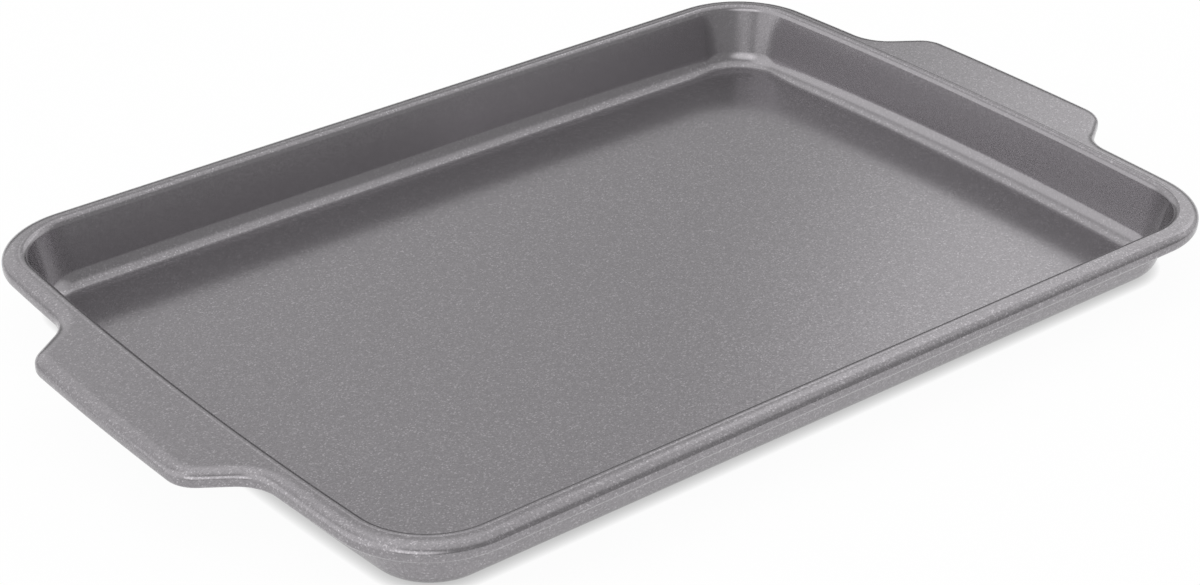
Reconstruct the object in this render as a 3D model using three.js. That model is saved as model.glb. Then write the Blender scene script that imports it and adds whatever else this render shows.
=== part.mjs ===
// Rectangular sheet pan: one pressed steel sheet with a shallow well, a rounded lip and a flat flange,
// which widens into a grip at each short end. The outer edge turns down and curls round a wire.
// Millimetres, +X along the pan, +Z up, origin under the middle of the floor.
import * as THREE from "three";

const degrees = THREE.MathUtils.degToRad;
const UPRIGHT = Math.PI / 2;

// Sheet
const SHEET_THICKNESS = 0.8;

// Lip crest, seen from above
const LIP_LENGTH = 439.2;
const LIP_WIDTH = 308.8;
const END_BOW = 6.1;
const LIP_CORNER_RADIUS = 34.9;

// Well, across its section: floor, cove, wall and rounded lip
const WELL_DEPTH = 29.4;
const WALL_DRAFT = degrees(13.8);
const COVE_RADIUS = 9;
const LIP_RADIUS = 3.4;

// Flange, from the crest outwards: the fall from the lip, the flat, the turned-down shoulder and its skirt
const LIP_RISE = 0.12;
const LIP_FALL_WIDTH = 0.9;
const FLANGE_WIDTH = 0.9;
const SHOULDER_WIDTH = 6.3;
const SHOULDER_DROP = 3.53;
const SKIRT_DROP = 1.7;

// Grips, measured past the plain rim
const GRIP_DEPTH = 24.4;
const GRIP_WIDTH = 127.4;
const GRIP_FLARE = degrees(35.6);
const GRIP_CORNER_RADIUS = 15;
const GRIP_ROOT_RADIUS = 20.1;

// Curled edge and the wire inside it
const WIRE_DIAMETER = 1.8;
const WIRE_CLEARANCE = 0.35;
const CURL_WRAP = degrees(240);
const WIRE_BUTT_GAP = 0.6;

// Steps along the round stretches
const CORNER_STEPS = 8;
const FILLET_STEPS = 4;
const SIDE_STEPS = 2;
const SECTION_STEPS = 4;
const CURL_STEPS = 6;
const WIRE_SIDES = 8;

// Heights
const floorTop = SHEET_THICKNESS;
const crestHeight = floorTop + WELL_DEPTH;
const flangeHeight = crestHeight - LIP_RISE;
const skirtHeight = flangeHeight - SHOULDER_DROP;
const curlHeight = skirtHeight - SKIRT_DROP;

// Reaches, from the crest outwards to the outermost edge
const flangeReach = LIP_FALL_WIDTH + FLANGE_WIDTH;
const rimReach = flangeReach + SHOULDER_WIDTH;
const gripReach = rimReach + GRIP_DEPTH;
const curlRadius = WIRE_DIAMETER / 2 + WIRE_CLEARANCE + SHEET_THICKNESS;

// The short ends are arcs through the middle of the end and the two corners.
const halfWidth = LIP_WIDTH / 2;
const endRadius = (halfWidth ** 2 + END_BOW ** 2) / (2 * END_BOW);
const endCentre = LIP_LENGTH / 2 - endRadius;
const cornerY = halfWidth - LIP_CORNER_RADIUS;
const cornerX = endCentre + Math.sqrt((endRadius - LIP_CORNER_RADIUS) ** 2 - cornerY ** 2);
const cornerStart = Math.atan2(cornerY, cornerX - endCentre);

// A round stretch in a plane, from one angle to another.
function arc(x, y, radius, from, to, radiusY = radius) {
  return new THREE.EllipseCurve(x, y, radius, radiusY, from, to, to < from);
}

// A straight stretch from the end of one curve to the start of the next.
function between(before, after) {
  return new THREE.LineCurve(before.getPoint(1), after.getPoint(0));
}

// Points and normals along a curve, leaving out its first point.
function stepsAlong(curve, steps) {
  const stations = [];
  for (let i = 1; i <= steps; i++) {
    const point = curve.getPoint(i / steps);
    const tangent = curve.getTangent(i / steps);
    stations.push({ point, normal: new THREE.Vector2(-tangent.y, tangent.x) });
  }
  return stations;
}

// Half of a grip's outline as distance along the end against reach past the crest:
// outer edge, rounded corner, slanted flank, rounded root and plain rim.
function gripOutline() {
  const turn = UPRIGHT - GRIP_FLARE;
  const slant = Math.tan(GRIP_FLARE) * GRIP_DEPTH / 2;
  const cornerAlong = GRIP_WIDTH / 2 - slant - GRIP_CORNER_RADIUS * Math.tan(turn / 2);
  const rootAlong = GRIP_WIDTH / 2 + slant + GRIP_ROOT_RADIUS * Math.tan(turn / 2);
  const cornerReach = gripReach - GRIP_CORNER_RADIUS;
  const rootReach = rimReach + GRIP_ROOT_RADIUS;
  const corner = arc(cornerAlong, cornerReach, GRIP_CORNER_RADIUS, UPRIGHT, UPRIGHT - turn);
  const root = arc(rootAlong, rootReach, GRIP_ROOT_RADIUS, -UPRIGHT - turn, -UPRIGHT);
  const outerMiddle = new THREE.Vector2(0, gripReach);
  const rimEnd = new THREE.Vector2(cornerStart * endRadius, rimReach);
  return [
    new THREE.LineCurve(outerMiddle, corner.getPoint(0)),
    corner,
    between(corner, root),
    root,
    new THREE.LineCurve(root.getPoint(1), rimEnd),
  ];
}

// A point that lies some distance along the bowed end and some reach past its crest.
function onEnd(along, reach) {
  const angle = along / endRadius;
  const radius = endRadius + reach;
  return new THREE.Vector2(endCentre + radius * Math.cos(angle), radius * Math.sin(angle));
}

// One station of the pan's plan: matching points on the crest and on the outermost edge, with their normals.
function endStation(along, reach, normal) {
  const angle = along / endRadius;
  const radial = new THREE.Vector2(Math.cos(angle), Math.sin(angle));
  const sideways = new THREE.Vector2(-radial.y, radial.x);
  const rimNormal = radial.clone().multiplyScalar(normal.y).addScaledVector(sideways, normal.x);
  return { lip: onEnd(along, 0), lipNormal: radial, rim: onEnd(along, reach), rimNormal };
}

function plainStation(lip, normal) {
  const rim = lip.clone().addScaledVector(normal, rimReach);
  return { lip, lipNormal: normal, rim, rimNormal: normal };
}

// A quarter of the plan, from the middle of the +X end to the middle of the +Y side.
function quarterPlan() {
  const stations = [endStation(0, gripReach, new THREE.Vector2(0, 1))];
  for (const curve of gripOutline()) {
    const steps = curve.isEllipseCurve ? FILLET_STEPS : 1;
    for (const { point, normal } of stepsAlong(curve, steps)) {
      stations.push(endStation(point.x, point.y, normal));
    }
  }
  const corner = new THREE.Vector2(cornerX, cornerY);
  for (let i = 1; i <= CORNER_STEPS; i++) {
    const angle = THREE.MathUtils.lerp(cornerStart, UPRIGHT, i / CORNER_STEPS);
    const normal = new THREE.Vector2(Math.cos(angle), Math.sin(angle));
    stations.push(plainStation(corner.clone().addScaledVector(normal, LIP_CORNER_RADIUS), normal));
  }
  for (let i = 1; i <= SIDE_STEPS; i++) {
    const x = THREE.MathUtils.lerp(cornerX, 0, i / SIDE_STEPS);
    stations.push(plainStation(new THREE.Vector2(x, halfWidth), new THREE.Vector2(0, 1)));
  }
  return stations;
}

function mirrored(station, x, y) {
  const flip = (v) => new THREE.Vector2(v.x * x, v.y * y);
  return {
    lip: flip(station.lip),
    lipNormal: flip(station.lipNormal),
    rim: flip(station.rim),
    rimNormal: flip(station.rimNormal),
  };
}

// The whole plan, counter-clockwise from the middle of the +Y side.
function wholePlan() {
  const quarter = quarterPlan();
  const back = [...quarter].reverse();
  const turns = [
    back.map((s) => mirrored(s, -1, 1)),
    quarter.map((s) => mirrored(s, -1, -1)),
    back.map((s) => mirrored(s, 1, -1)),
    quarter.map((s) => mirrored(s, 1, 1)),
  ];
  return turns.flatMap((stations) => stations.slice(0, -1));
}

// Rings of the sheet's upper face, from the floor to the free edge of the curl. Each ring has its offset from
// the crest or from the outermost edge, its height and its normal.
function upperRings() {
  const lipCentreHeight = crestHeight - LIP_RADIUS;
  const wallHeight = lipCentreHeight + LIP_RADIUS * Math.sin(WALL_DRAFT);
  const coveHeight = floorTop + COVE_RADIUS * (1 - Math.sin(WALL_DRAFT));
  const wallRun = (wallHeight - coveHeight) * Math.tan(WALL_DRAFT);
  const coveCentre = -(LIP_RADIUS + COVE_RADIUS) * Math.cos(WALL_DRAFT) - wallRun;
  const cove = arc(coveCentre, floorTop + COVE_RADIUS, COVE_RADIUS, -UPRIGHT, -WALL_DRAFT);
  const lip = arc(0, lipCentreHeight, LIP_RADIUS, Math.PI - WALL_DRAFT, UPRIGHT);

  const fallTurn = 2 * Math.atan(LIP_RISE / LIP_FALL_WIDTH);
  const fallRadius = LIP_FALL_WIDTH / 2 / Math.sin(fallTurn);
  const fallTop = arc(0, crestHeight - fallRadius, fallRadius, UPRIGHT, UPRIGHT - fallTurn);
  const fallFoot = arc(LIP_FALL_WIDTH, flangeHeight + fallRadius, fallRadius, -UPRIGHT - fallTurn, -UPRIGHT);

  const shoulder = arc(-SHOULDER_WIDTH, skirtHeight, SHOULDER_WIDTH, UPRIGHT, 0, SHOULDER_DROP);
  const curl = arc(-curlRadius, curlHeight, curlRadius, 0, -CURL_WRAP);

  const flat = new THREE.Vector2(0, 1);
  const rings = [];
  const start = (from, curve) => rings.push({ from, point: curve.getPoint(0), normal: flat });
  const add = (from, curve, steps) => {
    rings.push(...stepsAlong(curve, steps).map((station) => ({ from, ...station })));
  };
  start("lip", cove);
  add("lip", cove, SECTION_STEPS);
  add("lip", between(cove, lip), 1);
  add("lip", lip, SECTION_STEPS);
  add("lip", fallTop, 1);
  add("lip", fallFoot, 1);
  start("rim", shoulder);
  add("rim", shoulder, SECTION_STEPS);
  add("rim", between(shoulder, curl), 1);
  add("rim", curl, CURL_STEPS);
  return rings;
}

// The same ring on the sheet's lower face.
function lowerRing({ from, point, normal }) {
  return { from, point: point.clone().addScaledVector(normal, -SHEET_THICKNESS), normal };
}

// A ring's points in space, one for each station of the plan.
function ringPoints(plan, ring) {
  return plan.map((station) => {
    const base = station[ring.from];
    const place = base.clone().addScaledVector(station[ring.from + "Normal"], ring.point.x);
    return new THREE.Vector3(place.x, place.y, ring.point.y);
  });
}

// A closed skin through rings of equal length, capped by fans from the middle of its first and last ring.
function skin(rings) {
  const count = rings[0].length;
  const points = rings.flat();
  const index = [];
  for (let r = 0; r + 1 < rings.length; r++) {
    for (let i = 0; i < count; i++) {
      const a = r * count + i;
      const b = r * count + ((i + 1) % count);
      index.push(a, b, b + count, a, b + count, a + count);
    }
  }
  const addFan = (ring, offset, inward) => {
    const middle = new THREE.Vector3();
    ring.forEach((p) => middle.addScaledVector(p, 1 / count));
    points.push(middle);
    for (let i = 0; i < count; i++) {
      const a = offset + i;
      const b = offset + ((i + 1) % count);
      index.push(points.length - 1, inward ? b : a, inward ? a : b);
    }
  };
  addFan(rings[0], 0, true);
  addFan(rings[rings.length - 1], (rings.length - 1) * count, false);
  const geometry = new THREE.BufferGeometry().setFromPoints(points);
  geometry.setIndex(index);
  geometry.computeVertexNormals();
  return geometry;
}

function panShell(plan) {
  const upper = upperRings();
  const lower = upper.map(lowerRing).reverse();
  const rings = [...upper, ...lower].map((ring) => ringPoints(plan, ring)).reverse();
  const material = new THREE.MeshStandardMaterial({ color: 0x8d8b8e, metalness: 0.7, roughness: 0.42 });
  const mesh = new THREE.Mesh(skin(rings), material);
  mesh.name = "pan_shell";
  return mesh;
}

// The wire lies along the middle of the curl. Its two ends meet at the middle of the +Y side.
function rimWire(plan) {
  const butt = plan[0];
  const endAt = (x) => ({ ...butt, rim: new THREE.Vector2(x, butt.rim.y) });
  const run = [endAt(-WIRE_BUTT_GAP / 2), ...plan.slice(1), endAt(WIRE_BUTT_GAP / 2)];
  const rings = run.map(({ rim, rimNormal }) => {
    const middle = rim.clone().addScaledVector(rimNormal, -curlRadius);
    const ring = [];
    for (let i = 0; i < WIRE_SIDES; i++) {
      const angle = (-2 * Math.PI * i) / WIRE_SIDES;
      const place = middle.clone().addScaledVector(rimNormal, Math.cos(angle) * WIRE_DIAMETER / 2);
      ring.push(new THREE.Vector3(place.x, place.y, curlHeight + Math.sin(angle) * WIRE_DIAMETER / 2));
    }
    return ring;
  });
  const material = new THREE.MeshStandardMaterial({ color: 0xa3a4a6, metalness: 1, roughness: 0.35 });
  const mesh = new THREE.Mesh(skin(rings), material);
  mesh.name = "rim_wire";
  return mesh;
}

const plan = wholePlan();
const pan = new THREE.Group();
pan.add(panShell(plan), rimWire(plan));

export default pan;
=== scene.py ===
"""A sheet pan of coated steel on a white studio floor. Metres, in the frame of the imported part."""

import math

import bmesh
import bpy
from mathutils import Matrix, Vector


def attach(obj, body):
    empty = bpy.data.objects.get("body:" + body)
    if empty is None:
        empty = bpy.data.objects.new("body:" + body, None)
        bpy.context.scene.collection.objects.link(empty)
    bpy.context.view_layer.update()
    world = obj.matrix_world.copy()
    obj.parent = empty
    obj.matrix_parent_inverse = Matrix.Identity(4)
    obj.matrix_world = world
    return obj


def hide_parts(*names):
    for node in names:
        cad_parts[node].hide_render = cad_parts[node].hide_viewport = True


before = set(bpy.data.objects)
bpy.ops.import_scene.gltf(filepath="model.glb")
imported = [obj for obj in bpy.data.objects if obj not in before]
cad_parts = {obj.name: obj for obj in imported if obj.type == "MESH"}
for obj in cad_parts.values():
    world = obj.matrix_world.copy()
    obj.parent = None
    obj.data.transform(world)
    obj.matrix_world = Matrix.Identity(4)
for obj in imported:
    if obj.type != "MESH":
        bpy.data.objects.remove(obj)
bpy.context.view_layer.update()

MM = 0.001
QUARTER_TURN = math.pi / 2

# Sheet
SHEET_THICKNESS = 0.8 * MM

# Lip crest, seen from above
LIP_LENGTH = 439.2 * MM
LIP_WIDTH = 308.8 * MM
END_BOW = 6.1 * MM
LIP_CORNER_RADIUS = 34.9 * MM

# Well, across its section: floor, cove, wall and rounded lip
WELL_DEPTH = 29.4 * MM
WALL_DRAFT = math.radians(13.8)
COVE_RADIUS = 9 * MM
LIP_RADIUS = 3.4 * MM

# Flange, from the crest outwards: the fall from the lip, the flat, the turned-down shoulder and its skirt
LIP_RISE = 0.12 * MM
LIP_FALL_WIDTH = 0.9 * MM
FLANGE_WIDTH = 0.9 * MM
SHOULDER_WIDTH = 6.3 * MM
SHOULDER_DROP = 3.53 * MM
SKIRT_DROP = 1.7 * MM

# Grips, measured past the plain rim
GRIP_DEPTH = 24.4 * MM
GRIP_WIDTH = 127.4 * MM
GRIP_FLARE = math.radians(35.6)
GRIP_CORNER_RADIUS = 15 * MM
GRIP_ROOT_RADIUS = 20.1 * MM

# Curled edge
CURL_RADIUS = 2.05 * MM
CURL_WRAP = math.radians(240)

# Steps along the round stretches, and the flat margin that keeps a flat face flat beside a rounding
GRIP_EDGE_STEPS = 6
FILLET_STEPS = 10
RIM_STEPS = 5
CORNER_STEPS = 24
COVE_STEPS = 12
LIP_STEPS = 12
FALL_STEPS = 3
SHOULDER_STEPS = 14
CURL_STEPS = 16
FLAT_MARGIN = 0.2 * MM
SAME_PLACE = 0.002 * MM
SHARP_EDGE = math.radians(40)

# Heights
FLOOR_TOP = SHEET_THICKNESS
CREST_HEIGHT = FLOOR_TOP + WELL_DEPTH
FLANGE_HEIGHT = CREST_HEIGHT - LIP_RISE
SKIRT_HEIGHT = FLANGE_HEIGHT - SHOULDER_DROP
CURL_HEIGHT = SKIRT_HEIGHT - SKIRT_DROP

# Reaches, from the crest outwards to the outermost edge
RIM_REACH = LIP_FALL_WIDTH + FLANGE_WIDTH + SHOULDER_WIDTH
GRIP_REACH = RIM_REACH + GRIP_DEPTH

# The short ends are arcs through the middle of the end and the two corners.
HALF_WIDTH = LIP_WIDTH / 2
END_RADIUS = (HALF_WIDTH ** 2 + END_BOW ** 2) / (2 * END_BOW)
END_CENTRE = Vector((LIP_LENGTH / 2 - END_RADIUS, 0))
CORNER_Y = HALF_WIDTH - LIP_CORNER_RADIUS
CORNER_X = END_CENTRE.x + math.sqrt((END_RADIUS - LIP_CORNER_RADIUS) ** 2 - CORNER_Y ** 2)
CORNER_CENTRE = Vector((CORNER_X, CORNER_Y))
CORNER_START = math.atan2(CORNER_Y, CORNER_X - END_CENTRE.x)

# Coating: a grey with a trace of violet, on a slight orange peel
COATING_COLOUR = (0.305, 0.292, 0.306)
COATING_METALLIC = 0.83
COATING_ROUGHNESS = (0.15, 0.18)

# Flakes: the share of them up to each shade, as a multiple of the coating's colour; the brightest shades
# are partly painted glints.
# These painted glints show less on the inside of the walls, where the surface faces the middle of the pan
# and less light falls (-1 is straight at it).
FLAKE_SIZE = 0.58 * MM
FLAKE_SHADES_AND_GLINTS = [(0, 0.85), (1, 1.5), (0.5, 0.965), (0.88, 1.085)]
FLAKE_GLINT_SHARE = (0.35, 1)
FACING_IN = (-0.65, -0.35)
FLAKE_TILT = 0.02
LOT_MIDDLE = 0.5

# Unevenness of the coating
CLOUD_SIZE = 30 * MM
PEEL_SIZE = 1.2 * MM
PEEL_DEPTH = 0.004 * MM

# Wire
WIRE_COLOURS = [(0.42, 0.42, 0.43), (0.6, 0.6, 0.61)]
WIRE_ROUGHNESS = (0.3, 0.45)
WIRE_GRAIN_SIZE = 0.6 * MM
WIRE_GRAIN_DETAIL = 4
WIRE_GRAIN_DEPTH = 0.02 * MM

# Floor, how much of its white shows even in shade, and how far and how deeply a painted contact shadow
# dims that white close to the pan
FLOOR_SIZE = 20
FLOOR_DROP = 0.05 * MM
FLOOR_COLOUR = (0.9, 0.9, 0.9)
FLOOR_GLOW = 0.96
CONTACT_SHADOW_REACH = 5 * MM
CONTACT_SHADE = 0.5

# Surroundings, and the soft lights in them: azimuth from +X, elevation, radius of the full middle and
# width of the fade, all in degrees, then how much each adds to the surroundings. A dark card takes away.
SURROUNDINGS = 0.45
SOFT_LIGHTS = {
    "camera_softbox": (220, 32, 0, 31, 1.3),
    "overhead_softbox": (30, 79, 20, 24, 0.52),
    "right_softbox": (24, 31.5, 15, 6.5, 0.72),
    "low_right_softbox": (352, 24, 2, 29, 0.64),
    "back_softbox": (113, 29, 43, 31, 0.29),
    "left_softbox": (166, 27, 32, 11, 0.6),
    "back_fill": (91, 31, 17, 9.5, 0.26),
    "dark_back_card": (60, -15, 28.5, 7, -0.44),
}

# Camera
CAMERA_AZIMUTH = math.radians(-38.77)
CAMERA_ELEVATION = math.radians(28.94)
CAMERA_DISTANCE = 1163.6 * MM
CAMERA_TARGET = Vector((-41.55 * MM, -45.62 * MM, CREST_HEIGHT))
CAMERA_LENS = 84.33
CAMERA_SENSOR = 36


def on_end(angle, reach):
    """The point at an angle along the bowed end and a reach past its crest."""
    return END_CENTRE + (END_RADIUS + reach) * Vector((math.cos(angle), math.sin(angle)))


def arc(centre, turn, steps):
    """A stroke that turns round a centre, counter-clockwise when positive."""
    return {"centre": centre, "turn": turn, "steps": steps}


def grip_layout():
    """Where the corner and root roundings of half a grip lie, and which way its slanted flank faces."""
    turn = QUARTER_TURN - GRIP_FLARE
    slant = math.tan(GRIP_FLARE) * GRIP_DEPTH / 2
    corner_along = GRIP_WIDTH / 2 - slant - GRIP_CORNER_RADIUS * math.tan(turn / 2)
    root_along = GRIP_WIDTH / 2 + slant + GRIP_ROOT_RADIUS * math.tan(turn / 2)
    corner_angle = corner_along / END_RADIUS
    root_angle = root_along / END_RADIUS
    corner = on_end(corner_angle, GRIP_REACH - GRIP_CORNER_RADIUS)
    root = on_end(root_angle, RIM_REACH + GRIP_ROOT_RADIUS)
    apart = root - corner
    along_flank = math.atan2(apart.y, apart.x)
    along_flank += math.asin((GRIP_CORNER_RADIUS + GRIP_ROOT_RADIUS) / apart.length)
    flank_normal = along_flank - QUARTER_TURN
    return corner, root, corner_angle, root_angle, flank_normal


def lip_strokes():
    """A quarter of the crest, with as many points as the rim's quarter."""
    corner, root, corner_angle, root_angle, flank_normal = grip_layout()
    corner_end = corner + GRIP_CORNER_RADIUS * Vector((math.cos(flank_normal), math.sin(flank_normal)))
    root_start = root - GRIP_ROOT_RADIUS * Vector((math.cos(flank_normal), math.sin(flank_normal)))
    flank_start = math.atan2(corner_end.y, corner_end.x - END_CENTRE.x)
    flank_end = math.atan2(root_start.y, root_start.x - END_CENTRE.x)
    return [
        arc(END_CENTRE, corner_angle, GRIP_EDGE_STEPS),
        arc(END_CENTRE, flank_start - corner_angle, FILLET_STEPS),
        arc(END_CENTRE, flank_end - flank_start, 1),
        arc(END_CENTRE, root_angle - flank_end, FILLET_STEPS),
        arc(END_CENTRE, CORNER_START - root_angle, RIM_STEPS),
        arc(CORNER_CENTRE, QUARTER_TURN - CORNER_START, CORNER_STEPS),
        Vector((0, HALF_WIDTH)),
    ]


def rim_strokes():
    """A quarter of the outermost edge: grip, its corner, flank and root, plain rim and rim corner."""
    corner, root, corner_angle, root_angle, flank_normal = grip_layout()
    root_start = root - GRIP_ROOT_RADIUS * Vector((math.cos(flank_normal), math.sin(flank_normal)))
    return [
        arc(END_CENTRE, corner_angle, GRIP_EDGE_STEPS),
        arc(corner, flank_normal - corner_angle, FILLET_STEPS),
        root_start,
        arc(root, root_angle - flank_normal, FILLET_STEPS),
        arc(END_CENTRE, CORNER_START - root_angle, RIM_STEPS),
        arc(CORNER_CENTRE, QUARTER_TURN - CORNER_START, CORNER_STEPS),
        Vector((0, HALF_WIDTH + RIM_REACH)),
    ]


def turned(point, centre, turn):
    away = point - centre
    cos, sin = math.cos(turn), math.sin(turn)
    return centre + Vector((cos * away.x - sin * away.y, sin * away.x + cos * away.y))


def apply_modifier(piece, kind, **settings):
    modifier = piece.modifiers.new(kind.lower(), kind)
    for name, value in settings.items():
        setattr(modifier, name, value)
    bpy.context.view_layer.objects.active = piece
    bpy.ops.object.modifier_apply(modifier=modifier.name)


def draw_outline(name, start, height, strokes):
    """Draws a quarter of an outline from the middle of the +X end, then mirrors it into a closed edge."""
    bpy.ops.object.select_all(action="DESELECT")
    bpy.ops.mesh.primitive_plane_add(size=MM, location=(start.x, start.y, height))
    outline = bpy.context.object
    outline.name = name
    bpy.ops.object.transform_apply(location=True)
    bpy.ops.object.mode_set(mode="EDIT")
    bpy.ops.mesh.select_mode(type="VERT")
    bpy.ops.mesh.select_all(action="SELECT")
    bpy.ops.mesh.merge(type="CENTER")
    here = start
    for stroke in strokes:
        if isinstance(stroke, Vector):
            step = stroke - here
            bpy.ops.mesh.extrude_vertices_move(TRANSFORM_OT_translate={"value": (step.x, step.y, 0)})
            here = stroke
        else:
            centre, turn = stroke["centre"], stroke["turn"]
            bpy.ops.mesh.spin(steps=stroke["steps"], angle=-turn, center=(*centre, height), axis=(0, 0, 1))
            here = turned(here, centre, turn)
    bpy.ops.object.mode_set(mode="OBJECT")
    apply_modifier(outline, "MIRROR", use_axis=(True, True, False), merge_threshold=SAME_PLACE)
    return outline


def section_arc(centre, radii, start, end, steps):
    """Points of a round stretch of the section, as offset and height, from one angle to another."""
    angles = [start + (end - start) * i / steps for i in range(steps + 1)]
    return [(centre[0] + radii[0] * math.cos(a), centre[1] + radii[1] * math.sin(a)) for a in angles]


def well_section():
    """From the crest inwards: rounded lip, wall and cove, down to the floor."""
    lip_centre = (0, CREST_HEIGHT - LIP_RADIUS)
    wall_top = lip_centre[1] + LIP_RADIUS * math.sin(WALL_DRAFT)
    wall_foot = FLOOR_TOP + COVE_RADIUS * (1 - math.sin(WALL_DRAFT))
    wall_run = (wall_top - wall_foot) * math.tan(WALL_DRAFT)
    cove_offset = -(LIP_RADIUS + COVE_RADIUS) * math.cos(WALL_DRAFT) - wall_run
    cove_centre = (cove_offset, FLOOR_TOP + COVE_RADIUS)
    lip = section_arc(lip_centre, (LIP_RADIUS, LIP_RADIUS), QUARTER_TURN, math.pi - WALL_DRAFT, LIP_STEPS)
    cove = section_arc(cove_centre, (COVE_RADIUS, COVE_RADIUS), -WALL_DRAFT, -QUARTER_TURN, COVE_STEPS)
    return lip + cove


def fall_section():
    """From the crest outwards: the slight fall to the flange."""
    turn = 2 * math.atan(LIP_RISE / LIP_FALL_WIDTH)
    radius = LIP_FALL_WIDTH / 2 / math.sin(turn)
    radii = (radius, radius)
    top = section_arc((0, CREST_HEIGHT - radius), radii, QUARTER_TURN, QUARTER_TURN - turn, FALL_STEPS)
    foot_centre = (LIP_FALL_WIDTH, FLANGE_HEIGHT + radius)
    foot = section_arc(foot_centre, radii, -QUARTER_TURN - turn, -QUARTER_TURN, FALL_STEPS)
    return top + foot[1:]


def shoulder_section():
    """From the outermost edge up the skirt and over the shoulder to the flange."""
    centre = (-SHOULDER_WIDTH, SKIRT_HEIGHT)
    shoulder = section_arc(centre, (SHOULDER_WIDTH, SHOULDER_DROP), 0, QUARTER_TURN, SHOULDER_STEPS)
    return [(0, CURL_HEIGHT)] + shoulder


def curl_section():
    """From the outermost edge down, under and back up inside the rim."""
    return section_arc((-CURL_RADIUS, CURL_HEIGHT), (CURL_RADIUS, CURL_RADIUS), 0, -CURL_WRAP, CURL_STEPS)


def select_edges(piece, wanted):
    """In edit mode, selects only the edges that the test accepts."""
    bpy.ops.mesh.select_mode(type="EDGE")
    bpy.ops.mesh.select_all(action="DESELECT")
    mesh = bmesh.from_edit_mesh(piece.data)
    for edge in mesh.edges:
        edge.select_set(wanted(edge))
    mesh.select_flush_mode()
    bmesh.update_edit_mesh(piece.data)


def open_edge_at(height):
    """A test for open edges that lie at a height."""
    def wanted(edge):
        at_height = all(abs(v.co.z - height) < SAME_PLACE for v in edge.verts)
        return at_height and len(edge.link_faces) < 2
    return wanted


def pull_edge(piece, section):
    """Pulls the selected closed edge along a section: up or down, then evenly outwards or inwards."""
    for step, ((offset, height), (next_offset, next_height)) in enumerate(zip(section, section[1:])):
        rise = (0, 0, next_height - height)
        bpy.ops.mesh.extrude_region_move(TRANSFORM_OT_translate={"value": rise})
        if step == 0:
            bpy.ops.mesh.select_all(action="SELECT")
            bpy.ops.mesh.normals_make_consistent(inside=False)
            select_edges(piece, open_edge_at(next_height))
        mesh = bmesh.from_edit_mesh(piece.data)
        tip = max((v for v in mesh.verts if v.select), key=lambda v: v.co.x)
        outwards = math.copysign(1, tip.normal.x)
        spread = outwards * (next_offset - offset)
        bpy.ops.transform.shrink_fatten(value=spread, use_even_offset=True)


def make_even_faces():
    """In edit mode, merges points that coincide and turns all faces the same way."""
    bpy.ops.mesh.select_all(action="SELECT")
    bpy.ops.mesh.remove_doubles(threshold=SAME_PLACE)
    bpy.ops.mesh.normals_make_consistent(inside=False)


def sweep_section(outline, height, *sections):
    """Pulls the outline along each section in turn, always from the same first edge."""
    bpy.ops.object.select_all(action="DESELECT")
    outline.select_set(True)
    bpy.context.view_layer.objects.active = outline
    bpy.ops.object.mode_set(mode="EDIT")
    for section in sections:
        select_edges(outline, open_edge_at(height))
        pull_edge(outline, section)
    bpy.ops.object.mode_set(mode="OBJECT")


def press_pan():
    """Well and lip from the crest, rim and curl from the outermost edge, joined by the flange."""
    lip_start = Vector((LIP_LENGTH / 2, 0))
    rim_start = lip_start + Vector((GRIP_REACH, 0))
    pan = draw_outline("pressed_pan", lip_start, CREST_HEIGHT, lip_strokes())
    sweep_section(pan, CREST_HEIGHT, well_section(), fall_section())
    rim = draw_outline("curled_rim", rim_start, CURL_HEIGHT, rim_strokes())
    sweep_section(rim, CURL_HEIGHT, shoulder_section(), curl_section())
    bpy.ops.object.select_all(action="DESELECT")
    rim.select_set(True)
    pan.select_set(True)
    bpy.context.view_layer.objects.active = pan
    bpy.ops.object.join()
    bpy.ops.object.mode_set(mode="EDIT")
    select_edges(pan, open_edge_at(FLANGE_HEIGHT))
    bpy.ops.mesh.bridge_edge_loops()
    bpy.ops.mesh.inset(thickness=FLAT_MARGIN, use_boundary=True, use_even_offset=True)
    select_edges(pan, open_edge_at(FLOOR_TOP))
    bpy.ops.mesh.edge_face_add()
    bpy.ops.mesh.inset(thickness=FLAT_MARGIN)
    make_even_faces()
    mesh = bmesh.from_edit_mesh(pan.data)
    floor = max(mesh.faces, key=lambda face: face.calc_area())
    if floor.normal.z < 0:
        bpy.ops.mesh.flip_normals()
    bpy.ops.object.mode_set(mode="OBJECT")
    apply_modifier(pan, "SOLIDIFY", thickness=SHEET_THICKNESS, offset=-1, use_even_offset=True)
    bpy.ops.object.shade_smooth_by_angle(angle=SHARP_EDGE)
    return pan


def new_material(name):
    material = bpy.data.materials.new(name)
    material.use_nodes = True
    nodes = material.node_tree.nodes
    nodes.clear()
    return material, nodes, material.node_tree.links


def add_node(nodes, kind, **settings):
    """A shader node with its properties set."""
    node = nodes.new(kind)
    for name, value in settings.items():
        setattr(node, name, value)
    return node


def pattern(nodes, links, kind, size, **inputs):
    """A texture laid out in the piece's own space, with features of about a size in metres."""
    coords = nodes.new("ShaderNodeTexCoord")
    texture = nodes.new(kind)
    texture.inputs["Scale"].default_value = 1 / size
    for name, value in inputs.items():
        texture.inputs[name].default_value = value
    links.new(coords.outputs["Object"], texture.inputs["Vector"])
    return texture


def ranged(nodes, links, value, low, high):
    """A value from 0 to 1, turned into one between two others."""
    spread = nodes.new("ShaderNodeMapRange")
    spread.inputs["To Min"].default_value = low
    spread.inputs["To Max"].default_value = high
    links.new(value, spread.inputs["Value"])
    return spread.outputs["Result"]


def relief(nodes, links, height, depth):
    """The normal of a surface with a slight relief."""
    bump = nodes.new("ShaderNodeBump")
    bump.inputs["Distance"].default_value = depth
    links.new(height, bump.inputs["Height"])
    return bump.outputs["Normal"]


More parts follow.
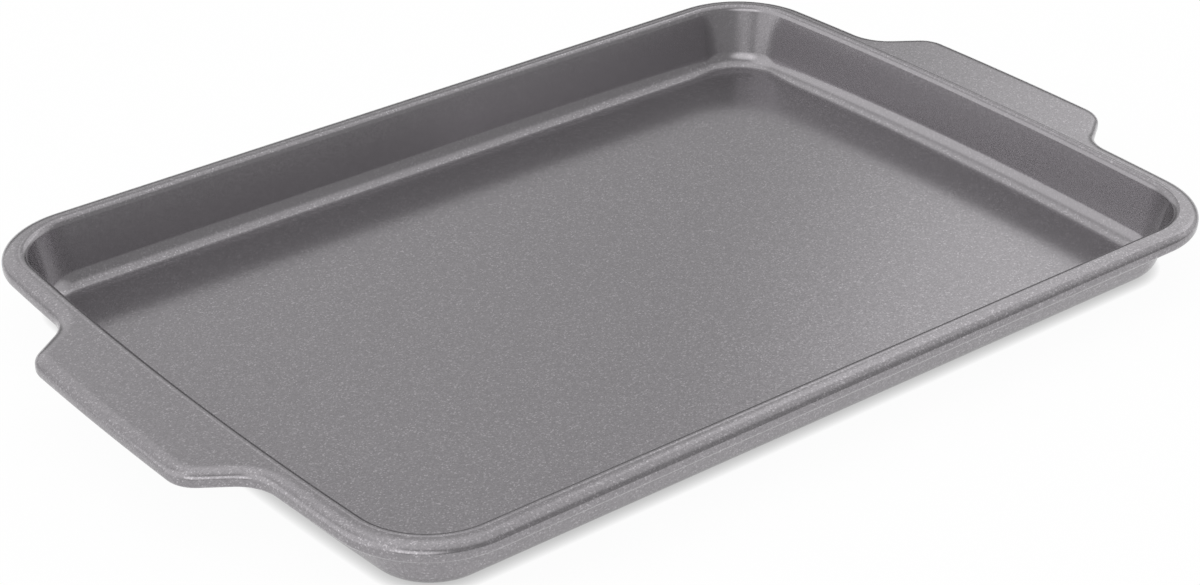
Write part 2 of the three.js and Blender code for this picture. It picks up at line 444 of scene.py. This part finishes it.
def coated_steel():
    """Satin grey coating with fine metal flakes that differ a little in shade and tilt; their bright
    shades are partly painted glints, painted weaker on the inner walls where less light falls.
    """
    material, nodes, links = new_material("flaked_grey_coating")
    output = nodes.new("ShaderNodeOutputMaterial")
    shader = nodes.new("ShaderNodeBsdfPrincipled")
    shader.inputs["Metallic"].default_value = COATING_METALLIC
    flakes = pattern(nodes, links, "ShaderNodeTexVoronoi", FLAKE_SIZE)
    lots = nodes.new("ShaderNodeSeparateColor")
    shade = nodes.new("ShaderNodeValToRGB")
    links.new(flakes.outputs["Color"], lots.inputs["Color"])
    links.new(lots.outputs["Red"], shade.inputs["Fac"])
    stops = shade.color_ramp.elements
    ready_stops = len(stops)
    for index, (lot, brightness) in enumerate(FLAKE_SHADES_AND_GLINTS):
        stop = stops[index] if index < ready_stops else stops.new(lot)
        stop.position = lot
        stop.color = (*(brightness * channel for channel in COATING_COLOUR), 1)
    # Flake shades are partly painted glints, blended down on the inside of the walls, where less light
    # falls
    coords = nodes.new("ShaderNodeTexCoord")
    outwards = add_node(nodes, "ShaderNodeVectorMath", operation="NORMALIZE")
    facing = add_node(nodes, "ShaderNodeVectorMath", operation="DOT_PRODUCT")
    links.new(coords.outputs["Object"], outwards.inputs[0])
    links.new(outwards.outputs["Vector"], facing.inputs[0])
    links.new(coords.outputs["Normal"], facing.inputs[1])
    share = ranged(nodes, links, facing.outputs["Value"], *FLAKE_GLINT_SHARE)
    for end, facing_in in zip(("From Min", "From Max"), FACING_IN):
        share.node.inputs[end].default_value = facing_in
    blend = nodes.new("ShaderNodeMixRGB")
    blend.inputs["Color1"].default_value = (*COATING_COLOUR, 1)
    links.new(share, blend.inputs["Fac"])
    links.new(shade.outputs["Color"], blend.inputs["Color2"])
    links.new(blend.outputs["Color"], shader.inputs["Base Color"])
    cloud = pattern(nodes, links, "ShaderNodeTexNoise", CLOUD_SIZE)
    links.new(ranged(nodes, links, cloud.outputs["Fac"], *COATING_ROUGHNESS), shader.inputs["Roughness"])
    peel = pattern(nodes, links, "ShaderNodeTexNoise", PEEL_SIZE)
    even = relief(nodes, links, peel.outputs["Fac"], PEEL_DEPTH)
    lean = add_node(nodes, "ShaderNodeVectorMath", operation="SUBTRACT")
    lean.inputs[1].default_value = (LOT_MIDDLE, LOT_MIDDLE, LOT_MIDDLE)
    tilt = add_node(nodes, "ShaderNodeVectorMath", operation="MULTIPLY_ADD")
    tilt.inputs[1].default_value = (FLAKE_TILT, FLAKE_TILT, FLAKE_TILT)
    unit = add_node(nodes, "ShaderNodeVectorMath", operation="NORMALIZE")
    links.new(flakes.outputs["Color"], lean.inputs[0])
    links.new(lean.outputs["Vector"], tilt.inputs[0])
    links.new(even, tilt.inputs[2])
    links.new(tilt.outputs["Vector"], unit.inputs[0])
    links.new(unit.outputs["Vector"], shader.inputs["Normal"])
    links.new(shader.outputs["BSDF"], output.inputs["Surface"])
    return material


def drawn_wire():
    """Bare steel wire, a little dull, with a fine grain."""
    material, nodes, links = new_material("drawn_steel_wire")
    output = nodes.new("ShaderNodeOutputMaterial")
    shader = nodes.new("ShaderNodeBsdfPrincipled")
    shader.inputs["Metallic"].default_value = 1
    grain = pattern(nodes, links, "ShaderNodeTexNoise", WIRE_GRAIN_SIZE, Detail=WIRE_GRAIN_DETAIL)
    shade = nodes.new("ShaderNodeValToRGB")
    for stop, colour in zip(shade.color_ramp.elements, WIRE_COLOURS):
        stop.color = (*colour, 1)
    links.new(grain.outputs["Fac"], shade.inputs["Fac"])
    links.new(shade.outputs["Color"], shader.inputs["Base Color"])
    links.new(ranged(nodes, links, grain.outputs["Fac"], *WIRE_ROUGHNESS), shader.inputs["Roughness"])
    links.new(relief(nodes, links, grain.outputs["Fac"], WIRE_GRAIN_DEPTH), shader.inputs["Normal"])
    links.new(shader.outputs["BSDF"], output.inputs["Surface"])
    return material


def white_floor():
    """White to the eye and in reflections, with a painted contact shadow beside the pan, and clear from
    below.
    """
    material, nodes, links = new_material("white_floor")
    output = nodes.new("ShaderNodeOutputMaterial")
    paint = nodes.new("ShaderNodeBsdfDiffuse")
    paint.inputs["Color"].default_value = (*FLOOR_COLOUR, 1)
    glow = nodes.new("ShaderNodeEmission")
    # Painted contact shadow: the floor's glow is dimmed where the pan is close
    painted_contact_shadow = nodes.new("ShaderNodeAmbientOcclusion")
    painted_contact_shadow.inputs["Distance"].default_value = CONTACT_SHADOW_REACH
    links.new(ranged(nodes, links, painted_contact_shadow.outputs["AO"], CONTACT_SHADE, 1), glow.inputs["Strength"])
    path = nodes.new("ShaderNodeLightPath")
    seen = None
    for ray in ("Is Camera Ray", "Is Glossy Ray", "Is Transmission Ray"):
        share = path.outputs[ray]
        if seen:
            either = add_node(nodes, "ShaderNodeMath", operation="MAXIMUM")
            links.new(seen, either.inputs[0])
            links.new(share, either.inputs[1])
            share = either.outputs["Value"]
        seen = share
    mix = nodes.new("ShaderNodeMixShader")
    links.new(ranged(nodes, links, seen, 0, FLOOR_GLOW), mix.inputs["Fac"])
    links.new(paint.outputs["BSDF"], mix.inputs[1])
    links.new(glow.outputs["Emission"], mix.inputs[2])
    side = nodes.new("ShaderNodeNewGeometry")
    clear = nodes.new("ShaderNodeBsdfTransparent")
    one_sided = nodes.new("ShaderNodeMixShader")
    links.new(side.outputs["Backfacing"], one_sided.inputs["Fac"])
    links.new(mix.outputs["Shader"], one_sided.inputs[1])
    links.new(clear.outputs["BSDF"], one_sided.inputs[2])
    links.new(one_sided.outputs["Shader"], output.inputs["Surface"])
    return material


def lay_floor():
    """A floor a hair under the pan, so that no two faces lie in one plane."""
    bpy.ops.object.select_all(action="DESELECT")
    bpy.ops.mesh.primitive_plane_add(size=FLOOR_SIZE, location=(0, 0, -FLOOR_DROP))
    floor = bpy.context.object
    floor.name = "studio_floor"
    floor.data.materials.append(white_floor())


def light_studio():
    """Plain grey surroundings with large soft lights, each full in its middle and faded at its edge."""
    world = bpy.data.worlds.new("studio")
    bpy.context.scene.world = world
    world.use_nodes = True
    nodes, links = world.node_tree.nodes, world.node_tree.links
    coords = nodes.new("ShaderNodeTexCoord")
    total = None
    for name, (azimuth, elevation, radius, fade, brightness) in SOFT_LIGHTS.items():
        azimuth, elevation = math.radians(azimuth), math.radians(elevation)
        level = math.cos(elevation)
        towards = (level * math.cos(azimuth), level * math.sin(azimuth), math.sin(elevation))
        facing = add_node(nodes, "ShaderNodeVectorMath", operation="DOT_PRODUCT", name=name)
        facing.inputs[1].default_value = towards
        links.new(coords.outputs["Generated"], facing.inputs[0])
        light = add_node(nodes, "ShaderNodeMapRange", interpolation_type="SMOOTHSTEP")
        light.inputs["From Min"].default_value = math.cos(math.radians(radius + fade))
        light.inputs["From Max"].default_value = math.cos(math.radians(radius))
        light.inputs["To Max"].default_value = brightness
        links.new(facing.outputs["Value"], light.inputs["Value"])
        add = add_node(nodes, "ShaderNodeMath", operation="ADD")
        add.inputs[1].default_value = SURROUNDINGS
        links.new(light.outputs["Result"], add.inputs[0])
        if total:
            links.new(total, add.inputs[1])
        total = add.outputs["Value"]
    background = nodes["Background"]
    background.inputs["Color"].default_value = (1, 1, 1, 1)
    links.new(total, background.inputs["Strength"])


def add_camera():
    """The camera of the photo, aimed at a point at the height of the crest."""
    aim = Vector((
        math.sin(CAMERA_AZIMUTH) * math.cos(CAMERA_ELEVATION),
        -math.cos(CAMERA_AZIMUTH) * math.cos(CAMERA_ELEVATION),
        math.sin(CAMERA_ELEVATION),
    ))
    data = bpy.data.cameras.new("photo_camera")
    data.lens = CAMERA_LENS
    data.sensor_width = CAMERA_SENSOR
    camera = bpy.data.objects.new("photo_camera", data)
    camera.location = CAMERA_TARGET + CAMERA_DISTANCE * aim
    camera.rotation_euler = aim.to_track_quat("Z", "Y").to_euler()
    bpy.context.scene.collection.objects.link(camera)
    bpy.context.scene.camera = camera


pan = press_pan()
pan.data.materials.clear()
pan.data.materials.append(coated_steel())
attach(pan, "root")
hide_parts("pan_shell")

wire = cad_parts["rim_wire"]
wire.data.materials.clear()
wire.data.materials.append(drawn_wire())

lay_floor()
light_studio()
add_camera()
bpy.context.scene.view_settings.view_transform = "Standard"
